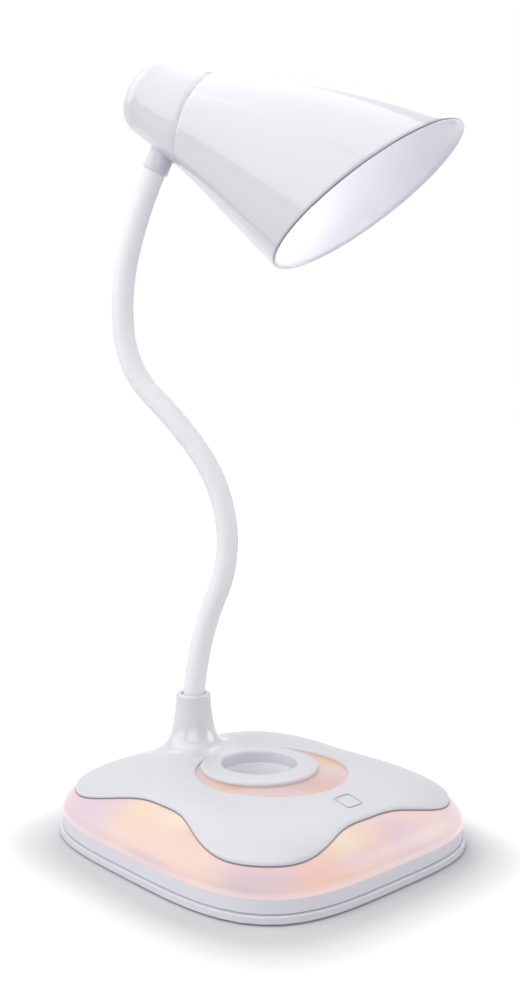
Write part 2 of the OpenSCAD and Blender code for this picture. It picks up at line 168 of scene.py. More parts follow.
def lathe(bm, profile, steps, loop=True):
    """Spins a profile of (radius, height) round the upright axis; loop closes it first."""
    verts = [bm.verts.new((r, 0, z)) for r, z in profile]
    pairs = list(zip(verts, verts[1:])) + ([(verts[-1], verts[0])] if loop else [])
    edges = [bm.edges.new(p) for p in pairs]
    bmesh.ops.spin(bm, geom=verts + edges, cent=(0, 0, 0), axis=(0, 0, 1), angle=2 * pi,
                   steps=steps, use_merge=True)
    bmesh.ops.remove_doubles(bm, verts=bm.verts, dist=1e-4)


def paint_rings(layer, rings, shares):
    """Writes one share for each ring into a layer that a material reads."""
    for ring, share in zip(rings, shares):
        for vert in ring:
            vert[layer] = share


def move_all(bm, frame_of):
    """Moves a mesh from a part's own frame to the lamp's."""
    for vert in bm.verts:
        vert.co = frame_of(vert.co)


def finish_piece(name, bm, body, material, replaced=(), sharp=50):
    """Turns a mesh in millimetres into a piece of the lamp that rides on a body. Edges
    that turn by more than sharp degrees stay sharp."""
    bmesh.ops.recalc_face_normals(bm, faces=bm.faces)
    bmesh.ops.scale(bm, vec=(0.001,) * 3, verts=bm.verts)
    for edge in bm.edges:
        edge.smooth = not (edge.is_manifold and edge.calc_face_angle(0) > radians(sharp))
    for face in bm.faces:
        face.smooth = True
    mesh = bpy.data.meshes.new(name)
    bm.to_mesh(mesh)
    bm.free()
    mesh.materials.append(material)
    piece = bpy.data.objects.new(name, mesh)
    bpy.context.scene.collection.objects.link(piece)
    if body:
        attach(piece, body)
    if replaced:
        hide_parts(*replaced)
    return piece


def softened_copy(name, node, material, width):
    """A merged copy of one of the base's CAD nodes, its hard edges rounded over."""
    bm = bmesh.new()
    bm.from_mesh(nodes[node].data)
    bmesh.ops.remove_doubles(bm, verts=bm.verts, dist=2e-6)
    bmesh.ops.dissolve_limit(bm, angle_limit=radians(0.6), verts=bm.verts, edges=bm.edges)
    bmesh.ops.scale(bm, vec=(1000,) * 3, verts=bm.verts)
    piece = finish_piece(name, bm, "base", material, [node], sharp=30)
    rounding = piece.modifiers.new("rounding", "BEVEL")
    rounding.width, rounding.segments = width / 1000, 3
    rounding.limit_method, rounding.angle_limit = "ANGLE", radians(35)
    rounding.harden_normals = True


# ---- Materials ----

def hex_linear(text):
    """An sRGB hex value as a linear colour."""
    parts = [int(text[i:i + 2], 16) / 255 for i in (1, 3, 5)]
    return [p / 12.92 if p <= 0.04045 else ((p + 0.055) / 1.055) ** 2.4 for p in parts] + [1.0]


def add_node(tree, kind, inputs=None, **settings):
    """Adds a node with its settings; an input is a value or another node's socket."""
    made = tree.nodes.new(kind)
    for key, value in settings.items():
        setattr(made, key, value)
    for key, value in (inputs or {}).items():
        if isinstance(value, bpy.types.NodeSocket):
            tree.links.new(value, made.inputs[key])
        else:
            made.inputs[key].default_value = value
    return made


def new_material(name):
    """A material with its node tree, its output and the piece's own coordinates."""
    material = bpy.data.materials.new(name)
    material.use_nodes = True
    tree = material.node_tree
    tree.nodes.clear()
    output = add_node(tree, "ShaderNodeOutputMaterial")
    where = add_node(tree, "ShaderNodeTexCoord").outputs["Object"]
    return material, tree, output, where


def blend_colours(tree, share, low, high):
    """Two hex colours or sockets mixed by a share."""
    pick = lambda c: hex_linear(c) if isinstance(c, str) else c
    return add_node(tree, "ShaderNodeMix", {0: share, 6: pick(low), 7: pick(high)},
                    data_type="RGBA").outputs[2]


def moulded_plastic(name, light, dark, rough, coat, ripple=0.02, grain_mm=1.2, coat_rough=0.08):
    """Injection-moulded ABS: an even colour with a slow drift in tone, a polish that varies a
    little, and the faint waviness of a moulded face. The attribute "gloss" adds polish where
    the tool was polished, and "edge" paints shade: a grey line on a corner that faces away from the
    light."""
    material, tree, output, where = new_material(name)
    drift = add_node(tree, "ShaderNodeTexNoise", {"Vector": where, "Scale": 18.0, "Detail": 2.0})
    tone = blend_colours(tree, drift.outputs["Fac"], light, dark)
    edge = add_node(tree, "ShaderNodeAttribute", attribute_name="edge").outputs["Fac"]
    # Painted shade: where "edge" is set the colour goes grey, a shadow line on the rim's outer
    # corner.
    tone = blend_colours(tree, edge, tone, "#62626E")
    grain = add_node(tree, "ShaderNodeTexNoise",
                     {"Vector": where, "Scale": 1000 / grain_mm, "Detail": 3.0})
    polish = add_node(tree, "ShaderNodeMapRange", {
        "Value": grain.outputs["Fac"], "To Min": rough - 0.04, "To Max": rough + 0.05})
    wave = add_node(tree, "ShaderNodeTexNoise", {"Vector": where, "Scale": 45.0, "Detail": 1.0})
    height = add_node(tree, "ShaderNodeMath", {0: wave.outputs["Fac"], 1: grain.outputs["Fac"]},
                      operation="MULTIPLY")
    bump = add_node(tree, "ShaderNodeBump", {"Height": height.outputs[0], "Strength": ripple,
                                             "Distance": 0.0004})
    shine = add_node(tree, "ShaderNodeAttribute", attribute_name="gloss").outputs["Fac"]
    coating = add_node(tree, "ShaderNodeMapRange", {"Value": shine, "To Min": coat, "To Max": 1.0})
    shader = add_node(tree, "ShaderNodeBsdfPrincipled", {
        "Base Color": tone, "Roughness": polish.outputs["Result"],
        "Normal": bump.outputs["Normal"], "IOR": 1.53, "Coat Weight": coating.outputs["Result"],
        "Coat Roughness": coat_rough})
    tree.links.new(shader.outputs[0], output.inputs["Surface"])
    return material


# Scale of a wave texture whose bands lie one millimetre apart
BANDS_1_MM = 314.0


def metal(name, light, dark, rough, lines_mm=0.0):
    """Bare or plated metal: tone and polish broken up by fine tool marks, or by the turns
    of a spiral tube so many millimetres apart."""
    material, tree, output, where = new_material(name)
    marks = add_node(tree, "ShaderNodeTexNoise", {"Vector": where, "Scale": 600.0, "Detail": 4.0})
    tone = blend_colours(tree, marks.outputs["Fac"], light, dark)
    polish = add_node(tree, "ShaderNodeMapRange", {
        "Value": marks.outputs["Fac"], "To Min": rough - 0.08, "To Max": rough + 0.1})
    height = marks.outputs["Fac"]
    if lines_mm:
        turns = add_node(tree, "ShaderNodeTexWave", {
            "Vector": where, "Scale": BANDS_1_MM / lines_mm, "Distortion": 0.0},
            bands_direction="Z")
        height = turns.outputs["Fac"]
    bump = add_node(tree, "ShaderNodeBump", {"Height": height, "Strength": 0.25,
                                             "Distance": 0.0003})
    shader = add_node(tree, "ShaderNodeBsdfPrincipled", {
        "Base Color": tone, "Metallic": 1.0, "Roughness": polish.outputs["Result"],
        "Normal": bump.outputs["Normal"]})
    tree.links.new(shader.outputs[0], output.inputs["Surface"])
    return material


def silicone():
    """Extruded matte silicone: soft sheen, a faint dusting of tone."""
    material, tree, output, where = new_material("white silicone sleeve")
    cloud = add_node(tree, "ShaderNodeTexNoise", {"Vector": where, "Scale": 60.0, "Detail": 3.0})
    tone = blend_colours(tree, cloud.outputs["Fac"], "#F4F4F8", "#EEEEF3")
    skin_grain = add_node(tree, "ShaderNodeTexNoise",
                          {"Vector": where, "Scale": 1400.0, "Detail": 2.0})
    polish = add_node(tree, "ShaderNodeMapRange",
                      {"Value": skin_grain.outputs["Fac"], "To Min": 0.42, "To Max": 0.56})
    bump = add_node(tree, "ShaderNodeBump", {"Height": skin_grain.outputs["Fac"], "Strength": 0.06,
                                             "Distance": 0.0002})
    shader = add_node(tree, "ShaderNodeBsdfPrincipled", {
        "Base Color": tone, "Roughness": polish.outputs["Result"],
        "Normal": bump.outputs["Normal"], "IOR": 1.41, "Sheen Weight": 0.15, "Sheen Roughness": 0.4})
    tree.links.new(shader.outputs[0], output.inputs["Surface"])
    return material


# Pools of light under the shell: place in mm, reach in mm, colour, strength
GLOWS = [
    ((-70, 40, 16), 40, "#E9D6E4", 0.9),
    ((-62, 66, 18), 26, "#F4D5DC", 0.8),
    ((-61, 6, 25), 20, "#FFE6CB", 0.8),
    ((-60, -14, 27), 17, "#FFEBCF", 0.95),
    ((-57, -34, 27), 16, "#FFE2C8", 0.8),
    ((-66, -66, 12), 26, "#DFC9D1", 0.85),
    ((-34, -74, 25), 16, "#FFE4C8", 0.85),
    ((-21, -72, 25), 17, "#FFEBD2", 0.95),
    ((-6, -70, 25), 15, "#FBDCCD", 0.6),
    ((-40, -81, 17), 20, "#FFD3C4", 0.85),
    ((8, -77, 21), 17, "#EBCDDB", 0.8),
    ((18, -80, 12), 24, "#F3DCE2", 0.7),
    ((48, -78, 12), 30, "#F5DFE4", 0.85),
    ((72, -40, 14), 36, "#E4CFDD", 0.85),
    ((34, -12, 31), 18, "#FFD0A0", 1.0),
    ((20, 12, 31), 14, "#FFC698", 0.9),
    ((4, -34, 31), 20, "#F0C2B4", 0.85),
    ((-24, -10, 31), 14, "#F2C8B2", 0.85),
    ((70, 36, 16), 40, "#E3D0DD", 0.85),
    ((58, 66, 20), 24, "#FFE4CC", 0.8),
    ((0, 82, 12), 40, "#F1D5DC", 0.7),
]


def glowing_shell():
    """Frosted opal polycarbonate over coloured light: pools of warm and violet light lie
    under peach, with soft streaks drawn out along the rim. It pales towards its foot, and a
    vertex attribute paints shade on it under the panel and a shadow in the gap there."""
    material, tree, output, where = new_material("frosted opal polycarbonate")
    cloud = add_node(tree, "ShaderNodeTexNoise", {
        "Vector": where, "Scale": 26.0, "Detail": 2.0, "Roughness": 0.45})
    colour = blend_colours(tree, cloud.outputs["Fac"], "#FAD5C9", "#FFE3D8")
    drawn_out = add_node(tree, "ShaderNodeMapping",
                         {"Vector": where, "Scale": (14.0, 14.0, 110.0)})
    streaks = add_node(tree, "ShaderNodeTexNoise", {"Vector": drawn_out.outputs[0], "Scale": 1.0,
                                                    "Detail": 1.5, "Roughness": 0.4})
    share = add_node(tree, "ShaderNodeMapRange", {
        "Value": streaks.outputs["Fac"], "From Min": 0.50, "From Max": 0.72, "To Max": 0.7},
        interpolation_type="SMOOTHSTEP")
    colour = blend_colours(tree, share.outputs["Result"], colour, "#E6CBDB")
    for place, reach, tint, strength in GLOWS:
        gap = add_node(tree, "ShaderNodeVectorMath",
                       {0: where, 1: [p / 1000 for p in place]}, operation="DISTANCE")
        share = add_node(tree, "ShaderNodeMapRange", {
            "Value": gap.outputs["Value"], "From Min": reach / 1000, "From Max": 0.0,
            "To Max": strength}, interpolation_type="SMOOTHSTEP")
        colour = blend_colours(tree, share.outputs["Result"], colour, tint)
    height = add_node(tree, "ShaderNodeSeparateXYZ", {0: where}).outputs["Z"]
    foot = add_node(tree, "ShaderNodeMapRange", {
        "Value": height, "From Min": 0.0135, "From Max": LINE_Z / 1000, "To Max": 0.75},
        interpolation_type="SMOOTHSTEP")
    colour = blend_colours(tree, foot.outputs["Result"], colour, "#F8E6E6")
    level = add_node(tree, "ShaderNodeMapRange", {"Value": foot.outputs["Result"],
                                                  "To Min": 0.5, "To Max": 0.64})
    frost = add_node(tree, "ShaderNodeTexNoise", {"Vector": where, "Scale": 1200.0, "Detail": 2.0})
    polish = add_node(tree, "ShaderNodeMapRange",
                      {"Value": frost.outputs["Fac"], "To Min": 0.32, "To Max": 0.46})
    painted_panel_shade = add_node(tree, "ShaderNodeAttribute", attribute_name="painted_panel_shade").outputs["Fac"]
    # Painted shade: under the panel and in the gap under its edge, the shell's colour goes
    # grey-violet where the panel shades it.
    glow = blend_colours(tree, painted_panel_shade, colour, "#857C8A")
    body = add_node(tree, "ShaderNodeMix", {0: 1.0, 6: glow, 7: hex_linear("#A6A6A8")},
                    data_type="RGBA", blend_type="MULTIPLY").outputs[2]
    shader = add_node(tree, "ShaderNodeBsdfPrincipled", {
        "Base Color": body, "Roughness": polish.outputs["Result"], "IOR": 1.45,
        "Emission Color": glow, "Emission Strength": level.outputs["Result"]})
    tree.links.new(shader.outputs[0], output.inputs["Surface"])
    return material


def lit_plastic(name, colour, strength, rough, pool=(0, 0, 0), reach=1.0, extra=0.0):
    """Opal acrylic with light behind it, brighter round the pool where its diodes lie."""
    material, tree, output, where = new_material(name)
    cloud = add_node(tree, "ShaderNodeTexNoise", {"Vector": where, "Scale": 40.0})
    tone = blend_colours(tree, cloud.outputs["Fac"], colour, "#FFFFFF")
    gap = add_node(tree, "ShaderNodeVectorMath", {0: where, 1: pool}, operation="DISTANCE")
    level = add_node(tree, "ShaderNodeMapRange", {
        "Value": gap.outputs["Value"], "From Min": reach, "From Max": 0.0,
        "To Min": strength, "To Max": strength + extra}, interpolation_type="SMOOTHSTEP")
    shader = add_node(tree, "ShaderNodeBsdfPrincipled", {
        "Base Color": tone, "Roughness": rough, "IOR": 1.49,
        "Emission Color": tone, "Emission Strength": level.outputs["Result"]})
    tree.links.new(shader.outputs[0], output.inputs["Surface"])
    return material


def circuit_board():
    """Lacquered glass-fibre board: green mask over a grid of copper tracks."""
    material, tree, output, where = new_material("lacquered circuit board")
    tracks = add_node(tree, "ShaderNodeTexBrick", {
        "Vector": where, "Scale": 180.0, "Mortar Size": 0.03,
        "Color1": hex_linear("#1F6B49"), "Color2": hex_linear("#1A5C3F"),
        "Mortar": hex_linear("#2F8A5F")})
    bump = add_node(tree, "ShaderNodeBump", {"Height": tracks.outputs["Fac"], "Strength": 0.3,
                                             "Distance": 0.0001})
    shader = add_node(tree, "ShaderNodeBsdfPrincipled", {
        "Base Color": tracks.outputs["Color"], "Roughness": 0.35,
        "Normal": bump.outputs["Normal"], "IOR": 1.5})
    tree.links.new(shader.outputs[0], output.inputs["Surface"])
    return material


gloss_abs = moulded_plastic("polished white ABS", "#DBDBE2", "#D7D7DF", 0.30, 0.9, ripple=0.012,
                            coat_rough=0.07)
panel_abs = moulded_plastic("satin white ABS", "#D9D9DF", "#D5D5DB", 0.38, 0.1, grain_mm=0.8)
band_abs = moulded_plastic("white ABS skirt", "#E4E3EA", "#DFDEE6", 0.34, 0.2)
cover_abs = moulded_plastic("white ABS base plate", "#E0E0E7", "#DBDBE3", 0.30, 0.3)
cup_abs = moulded_plastic("grey-white ABS cup", "#F4F4F8", "#EFEFF4", 0.45, 0.0)
mark_ink = moulded_plastic("grey pad print", "#C4C4CE", "#BABAC5", 0.5, 0.0)
collar_abs = moulded_plastic("white ABS collar", "#D6D6DE", "#D1D1DA", 0.32, 0.4)
sleeve_silicone = silicone()
shell_opal = glowing_shell()
lens_opal = lit_plastic("opal acrylic lens", "#FDFDFF", 1.35, 0.3,
                        head_frame((12, -16, 57)) / 1000, 0.034, 2.6)
led_package = lit_plastic("diode package", "#FFF1C4", 0.8, 0.4)
reflector_white = moulded_plastic("white reflector polycarbonate", "#F7F7F9", "#F2F2F5", 0.2, 0.3)
foot_rubber = moulded_plastic("grey rubber foot", "#4A4A4D", "#3E3E42", 0.75, 0.0, ripple=0.2)
cell_wrap = moulded_plastic("blue shrink wrap", "#2B5F9E", "#24528C", 0.3, 0.2, ripple=0.1)
zinc_steel = metal("zinc plated steel", "#C9CACC", "#A9ABB0", 0.32)
spiral_steel = metal("spiral steel tube", "#B9BABD", "#8F9196", 0.35, lines_mm=1.6)
nickel = metal("nickel plated shell", "#C8C6C0", "#AFACA6", 0.25)
turned_brass = metal("turned brass", "#C9A45A", "#A8843F", 0.28)
copper_foil = metal("copper foil", "#C77B52", "#A9613B", 0.35)
mill_aluminium = metal("mill finish aluminium", "#D0D2D5", "#B7B9BD", 0.38)
phosphate_iron = metal("phosphated ballast plate", "#5A5C60", "#47494D", 0.55)
board_green = circuit_board()

# The CAD nodes that show as they are; the scene's own pieces stand for the rest
SHOWN = {
    "feet": foot_rubber, "cover_screws": zinc_steel, "ballast": phosphate_iron,
    "battery": cell_wrap, "main_board": board_green, "charge_board": board_green,
    "charge_socket": nickel, "glow_board": board_green, "glow_leds": led_package,
    "touch_electrode": copper_foil, "touch_mark": mark_ink, "neck_stud": turned_brass,
    "neck_washer": zinc_steel, "neck_nut": turned_brass, "core_root": spiral_steel,
    "core_tip": spiral_steel, "head_nut": turned_brass, "lamp_plate": mill_aluminium,
    "lamp_leds": led_package, "plate_screws": zinc_steel,
}
SHOWN.update({"core_%d" % i: spiral_steel for i in range(1, 7)})
for name, material in SHOWN.items():
    mesh = nodes[name].data
    mesh.materials.clear()
    mesh.materials.append(material)
    for polygon in mesh.polygons:
        polygon.material_index = 0


# ---- Base ----

def base_plate_and_band():
    """The plate with its proud lip, and the plain skirt above it."""
    softened_copy("base_plate", "bottom_cover", cover_abs, 0.45)
    softened_copy("skirt", "housing_band", band_abs, 0.3)


def dome_ring(reach, lift, angles):
    """A ring that lies a lift above the crown. Its radius comes from the outline's angle
    t, the true direction a and the outline's distance that way."""
    ring = []
    for t in angles:
        edge = rim_point(t)
        a = atan2(edge.y, edge.x)
        r = reach(t, a, edge.length)
        x, y = r * cos(a), r * sin(a)
        ring.append((x, y, crown_z(x, y) + lift))
    return ring


def light_dome():
    """The glowing shell. Painted shade makes it a little greyer under the panel, and a painted
    shadow in the gap under the panel's edge fades out within half a millimetre of it."""
    angles = turns_of(DOME_SIDES)
    reach_in = lambda k: lambda t, a, far: mix(EYE_R, far * panel_reach(t) - 0.9, k)
    near_edge = lambda d: lambda t, a, far: far * panel_reach(t) + d
    outward = lambda w: lambda t, a, far: mix(far * panel_reach(t) + 1.6, far, w)
    rings = [dome_ring(reach_in(k / 8), 0, angles) for k in range(9)]
    rings += [dome_ring(near_edge(d), 0, angles) for d in (-0.3, 0.0, 0.2, 0.45)]
    rings += [dome_ring(outward(sin(k / 14 * pi / 2)), 0, angles) for k in range(15)]
    bm = bmesh.new()
    layer = bm.verts.layers.float.new("painted_panel_shade")
    made = skin(bm, rings)
    # Shares of painted shade for each ring: a little under the panel, most in the gap under its
    # edge, then fading out.
    painted_shade_under_panel, painted_gap_shadow, fading_gap_shadow = [0.18] * 8, [0.9] * 3, [0.45]
    paint_rings(layer, made, painted_shade_under_panel + painted_gap_shadow + fading_gap_shadow)
    middles = [(face, face.calc_center_median()) for face in bm.faces]
    hole = [face for face, c in middles if hypot(c.x, c.y - NECK_Y) < NECK_HOLE]
    bmesh.ops.delete(bm, geom=hole, context="FACES")
    piece = finish_piece("glow_dome", bm, "base", shell_opal, ["light_shell"], 60)
    wall = piece.modifiers.new("wall", "SOLIDIFY")
    wall.thickness, wall.offset = SHELL_T / 1000, -1.0


def panel_plate(bm):
    """The four-lobed plate, with its edges rounded over."""
    angles = turns_of(PANEL_SIDES)
    lobes = lambda d: lambda t, a, far: far * panel_reach(t) - d
    moon = lambda d: lambda t, a, far: crescent_reach(a) + d
    between = lambda k: lambda t, a, far: mix(
        crescent_reach(a) + 1.2, far * panel_reach(t) - 1.4, k)
    top = PANEL_LIFT + PANEL_T
    rings = [dome_ring(moon(d), top - e, angles)
             for d, e in ((0, 0.7), (0.08, 0.35), (0.25, 0.12), (0.55, 0.0))]
    rings += [dome_ring(between(k / 16), top, angles) for k in range(17)]
    rings += [dome_ring(lobes(d), top - e, angles)
              for d, e in ((0.7, 0.0), (0.35, 0.1), (0.12, 0.32), (0.0, 0.65), (0.0, 1.1))]
    rings += [dome_ring(lobes(d), PANEL_LIFT, angles) for d in (0.25, 2.5)]
    rings += [dome_ring(moon(d), PANEL_LIFT, angles) for d in (2.0, 0.0)]
    skin(bm, rings, closed=True)


def neck_socket(bm):
    """The flared socket that grows out of the plate round the neck."""
    rise = lambda r: FLARE_C * (1 / (r - FLARE_R) - 1 / (FOOT_R - FLARE_R)
                                + (r - FOOT_R) / (FOOT_R - FLARE_R) ** 2)
    level = lambda r: min(1.0, max(0.0, (r - SOCKET_R) / (FOOT_R - SOCKET_R))) ** 0.8
    middle = crown_z(0, NECK_Y)
    k = (SOCKET_Z - middle - PANEL_LIFT - PANEL_T) / rise(SOCKET_R)
    angles = turns_of(SOCKET_SIDES)

    def laid(r, lift):
        ring = []
        for a in angles:
            x, y = r * cos(a), NECK_Y + r * sin(a)
            ring.append((x, y, mix(middle, crown_z(x, y), level(r)) + PANEL_LIFT + lift))
        return ring

    flat = lambda r, z: [(r * cos(a), NECK_Y + r * sin(a), z) for a in angles]
    radii = [8.55, 8.7, 8.9, 9.15, 9.5, 9.9, 10.4, 11, 11.7, 12.5, 13.4, 14.4, 15.5, 16.7, 18,
             19.4, 20.7, FOOT_R]
    rings = [flat(5.95, SOCKET_Z - 6), flat(5.95, SOCKET_Z - 0.7), flat(6.05, SOCKET_Z - 0.3),
             flat(6.35, SOCKET_Z - 0.05), flat(6.6, SOCKET_Z), flat(7.7, SOCKET_Z),
             flat(8.05, SOCKET_Z - 0.1), flat(8.3, SOCKET_Z - 0.35), flat(8.45, SOCKET_Z - 0.8)]
    rings += [laid(r, PANEL_T + k * rise(r) - (0.12 if r == FOOT_R else 0)) for r in radii]
    under = lambda r: [(x, y, crown_z(x, y) + PANEL_LIFT + 0.2) for x, y, _ in flat(r, 0)]
    rings += [under(FOOT_R), under(16), under(11.1), flat(10.6, middle + PANEL_LIFT - 0.6),
              flat(10.6, 22), flat(5.1, 22), flat(5.1, 25), flat(7.4, 25), flat(7.2, SOCKET_Z - 6)]
    skin(bm, rings, closed=True)


def cup_ring(bm):
    """The flat ring round the pen hole, crowned towards its inner edge."""
    low, top = RING_LOW, RING_TOP
    lathe(bm, [
        (CUP_R, 28.4), (20.9, 28.4), (20.9, low + 0.6), (26.0, low + 0.6), (26.0, low),
        (RING_R - 0.15, low), (RING_R - 0.03, low + 0.12), (RING_R, low + 0.4),
        (RING_R - 0.02, low + 0.85), (RING_R - 0.12, low + 1.15), (RING_R - 0.32, low + 1.42),
        (RING_R - 0.65, low + 1.64), (RING_R - 1.1, low + 1.8), (25.2, low + 1.98),
        (23.0, low + 2.28), (20.6, top - 0.12), (19.6, top - 0.03), (18.9, top),
        (18.45, top - 0.06), (18.1, top - 0.22), (17.8, top - 0.48), (17.6, top - 0.8),
        (CUP_R, top - 1.2)], steps=160)


def pen_well():
    """The cup below the ring: drafted wall, filleted floor."""
    bm = bmesh.new()
    inner = [(CUP_R, 28.35), (CUP_R - 0.25, 18.0), (CUP_R - 0.4, 8.4)]
    inner += [(CUP_R - 4.4 + 4.0 * cos(radians(a)), 8.4 - 4.0 * sin(radians(a)))
              for a in range(10, 91, 10)]
    lathe(bm, [(0, 2.85), (CUP_R + 1.1, 2.85), (CUP_R + 1.4, 3.2), (CUP_R + 1.5, 25.8),
               (20.5, 25.85), (20.7, 26.1), (20.7, 28.35)] + inner + [(0, 4.4)],
          steps=96, loop=False)
    finish_piece("pen_well", bm, "base", cup_abs, ["pen_cup"])


def top_moulding():
    """Plate, socket and ring are one moulding, most polished round the socket."""
    bm = bmesh.new()
    panel_plate(bm)
    neck_socket(bm)
    cup_ring(bm)
    layer = bm.verts.layers.float.new("gloss")
    for vert in bm.verts:
        away = hypot(vert.co.x, vert.co.y - NECK_Y)
        vert[layer] = min(1.0, max(0.0, (30.0 - away) / 14.0))
    finish_piece("top_moulding", bm, "base", panel_abs, ["top_panel"])


# ---- Gooseneck ----

def neck_path():
    """Joints of the neck's arcs as (s, z, heading in degrees)."""
    s, z = NECK_START
    heading = 0.0
    joints = [(s, z, heading)]
    for length, turn in zip(ARC_LEN, ARC_TURN):
        a, t = radians(heading), radians(turn)
        r = length / t
        s += r * (cos(a) - cos(a + t))
        z += r * (sin(a + t) - sin(a))
        heading += turn
        joints.append((s, z, heading))
    return joints


NECK = neck_path()


def neck_point(i, d):
    """Point and heading at distance d along arc i."""
    s, z, heading = NECK[i]
    a, t = radians(heading), radians(ARC_TURN[i]) * d / ARC_LEN[i]
    r = ARC_LEN[i] / radians(ARC_TURN[i])
    return s + r * (cos(a) - cos(a + t)), z + r * (sin(a + t) - sin(a)), a + t


def sleeve_ring(i, d, radius):
    """A section of the sleeve, square to the neck at distance d along arc i."""
    s, z, a = neck_point(i, d)
    ring = []
    for b in turns_of(SLEEVE_SIDES):
        across, side = radius * cos(b), radius * sin(b)
        ring.append(in_plane(s + across * cos(a), z - across * sin(a), side))
    return ring


def sleeve_piece(i):
    """The sleeve across joint i, from the middle of one arc to the middle of the next. The
    first starts at the neck's foot and the last ends at its tip."""
    start = ARC_LEN[i - 1] / 2 if i > 1 else 0.0
    end = ARC_LEN[i] / 2 if i < 7 else ARC_LEN[i]
    run = ARC_LEN[i - 1] - start
    count = round(run / RING_STEP)
    stops = [(i - 1, start + run * k / count) for k in range(count)]
    count = round(end / RING_STEP)
    stops += [(i, end * k / count) for k in range(count + 1)]
    inside = stops[::4] if len(stops) % 4 == 1 else stops
    bm = bmesh.new()
    rings = [sleeve_ring(arc, d, SLEEVE_R) for arc, d in stops]
    rings += [sleeve_ring(arc, d, SLEEVE_IN) for arc, d in reversed(inside)]
    skin(bm, rings, closed=True)
    piece = finish_piece("sleeve_%d" % i, bm, None, sleeve_silicone, sharp=60)
    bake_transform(piece)
    return piece


def gooseneck():
    """Seven lengths of sleeve, each across one of the neck's joints; they stand in for the neck's
    CAD nodes, which are hidden.
    """
    stands_for = {i: ["neck_link_%d" % i] for i in range(1, 7)}
    stands_for[1] = ["neck_root", "neck_link_1"]
    stands_for[7] = ["neck_tip"]
    for i in range(1, 8):
        piece = sleeve_piece(i)
        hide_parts(*stands_for[i])


# ---- Head ----

def bell_ring(k, inset):
    """A section of the shade, from square at the cap (k 0) to the slanted mouth (k 1). Its
    centre follows a curve that bends at BEND_S, BEND_Z."""
    s = (1 - k) ** 2 * HEAD_S + 2 * k * (1 - k) * BEND_S + k * k * MOUTH_S
    z = (1 - k) ** 2 * HEAD_Z + 2 * k * (1 - k) * BEND_Z + k * k * MOUTH_Z
    tilt = radians(mix(90 - HEAD_DIP, MOUTH_TILT, k))
    ring = []
    for a in turns_of(HEAD_SIDES):
        u = (mix(JOINT_R, MOUTH_A, k) - inset) * cos(a)
        w = (mix(JOINT_R, MOUTH_B, k) - inset) * sin(a)
        ring.append(in_plane(s + u * cos(tilt), z + u * sin(tilt), w))
    return ring


def bell_shade():
    """The shade: outer skin, a rolled rim and the inner skin. The attribute "edge" paints
    shade on the rim's outer corner, which faces down, away from the light: a thin grey line."""
    steps = 40
    rings = [bell_ring(0, 0.03), bell_ring(0.001, 0)]
    rings += [bell_ring(k / steps, 0) for k in range(1, steps)]
    rim = len(rings)
    rings += [bell_ring(0.992, 0.0), bell_ring(0.997, 0.12), bell_ring(1.0, 0.42),
              bell_ring(1.0, 0.5), bell_ring(1.0, SHADE_T - 0.5),
              bell_ring(0.997, SHADE_T - 0.15)]
    rings += [bell_ring(k / steps, SHADE_T) for k in range(steps - 1, -1, -1)]
    bm = bmesh.new()
    layer = bm.verts.layers.float.new("edge")
    made = skin(bm, rings, closed=True)
    # Painted shade along the rim's outer corner, strongest on its middle ring.
    paint_rings(layer, made[rim:], (0.45, 1.0, 0.9))
    finish_piece("bell_shade", bm, "head", gloss_abs, ["shade"], 70)


def neck_end_frame(p):
    """From the frame of the neck's upper end, +Z along the neck, to the lamp's."""
    s, z, heading = NECK[8]
    a = radians(heading)
    return in_plane(s + p[0] * cos(a) + p[2] * sin(a), z - p[0] * sin(a) + p[2] * cos(a), -p[1])


def cap_ring(reach, inset, share=1.0):
    """A section of the cap: its underside rises to the rear, and its back leans. A share
    below 1 shrinks it, to close the back."""
    k = min(reach, CAP_RUN) / CAP_RUN
    r = JOINT_R - CAP_TAPER * k - inset
    ring = []
    for a in turns_of(HEAD_SIDES):
        ring.append(head_frame((share * r * cos(a), CAP_RISE * k + share * r * sin(a),
                                -reach * (1 - CAP_LEAN * share * sin(a)))))
    return ring


def cap_shell():
    """The shade's rear cap: a tapered thimble with a generously rounded back."""
    turns = [radians(a) for a in range(6, 90, 6)]
    outer, inner = CAP_ROUND, CAP_ROUND - CAP_WALL
    rings = [cap_ring(0, CAP_WALL), cap_ring(0, 0.03), cap_ring(0.05, 0)]
    rings += [cap_ring(CAP_RUN * k / 6, 0) for k in range(1, 7)]
    rings += [cap_ring(CAP_RUN + outer * sin(a), outer * (1 - cos(a))) for a in turns]
    rings += [cap_ring(CAP_RUN + outer, outer, k) for k in (0.75, 0.5, 0.25, 0.02)]
    rings += [cap_ring(CAP_RUN + inner, outer + CAP_WALL, k) for k in (0.02, 0.5, 1.0)]
    rings += [cap_ring(CAP_RUN + inner * sin(a), CAP_WALL + inner * (1 - cos(a)))
              for a in turns[::-3]]
    rings += [cap_ring(CAP_RUN * k / 3, CAP_WALL) for k in (3, 2, 1)]
    bm = bmesh.new()
    skin(bm, rings, closed=True)
    finish_piece("cap_shell", bm, "head", gloss_abs, ["rear_cap"])


def neck_collar():
    """The collar that the neck enters, with the spigot that holds it in the cap."""
    bm = bmesh.new()
    lathe(bm, [(5.42, -5.7), (5.6, -5.95), (5.9, -6), (6.15, -5.95), (6.32, -5.75), (6.35, -5.4),
               (6.35, -5.0), (6.3, -4.85), (6.2, -4.75), (6.2, 15), (2.5, 15), (2.5, 0.05),
               (5.42, 0.05)], steps=72)
    move_all(bm, neck_end_frame)
    finish_piece("neck_collar", bm, "head", collar_abs, ["ferrule"])


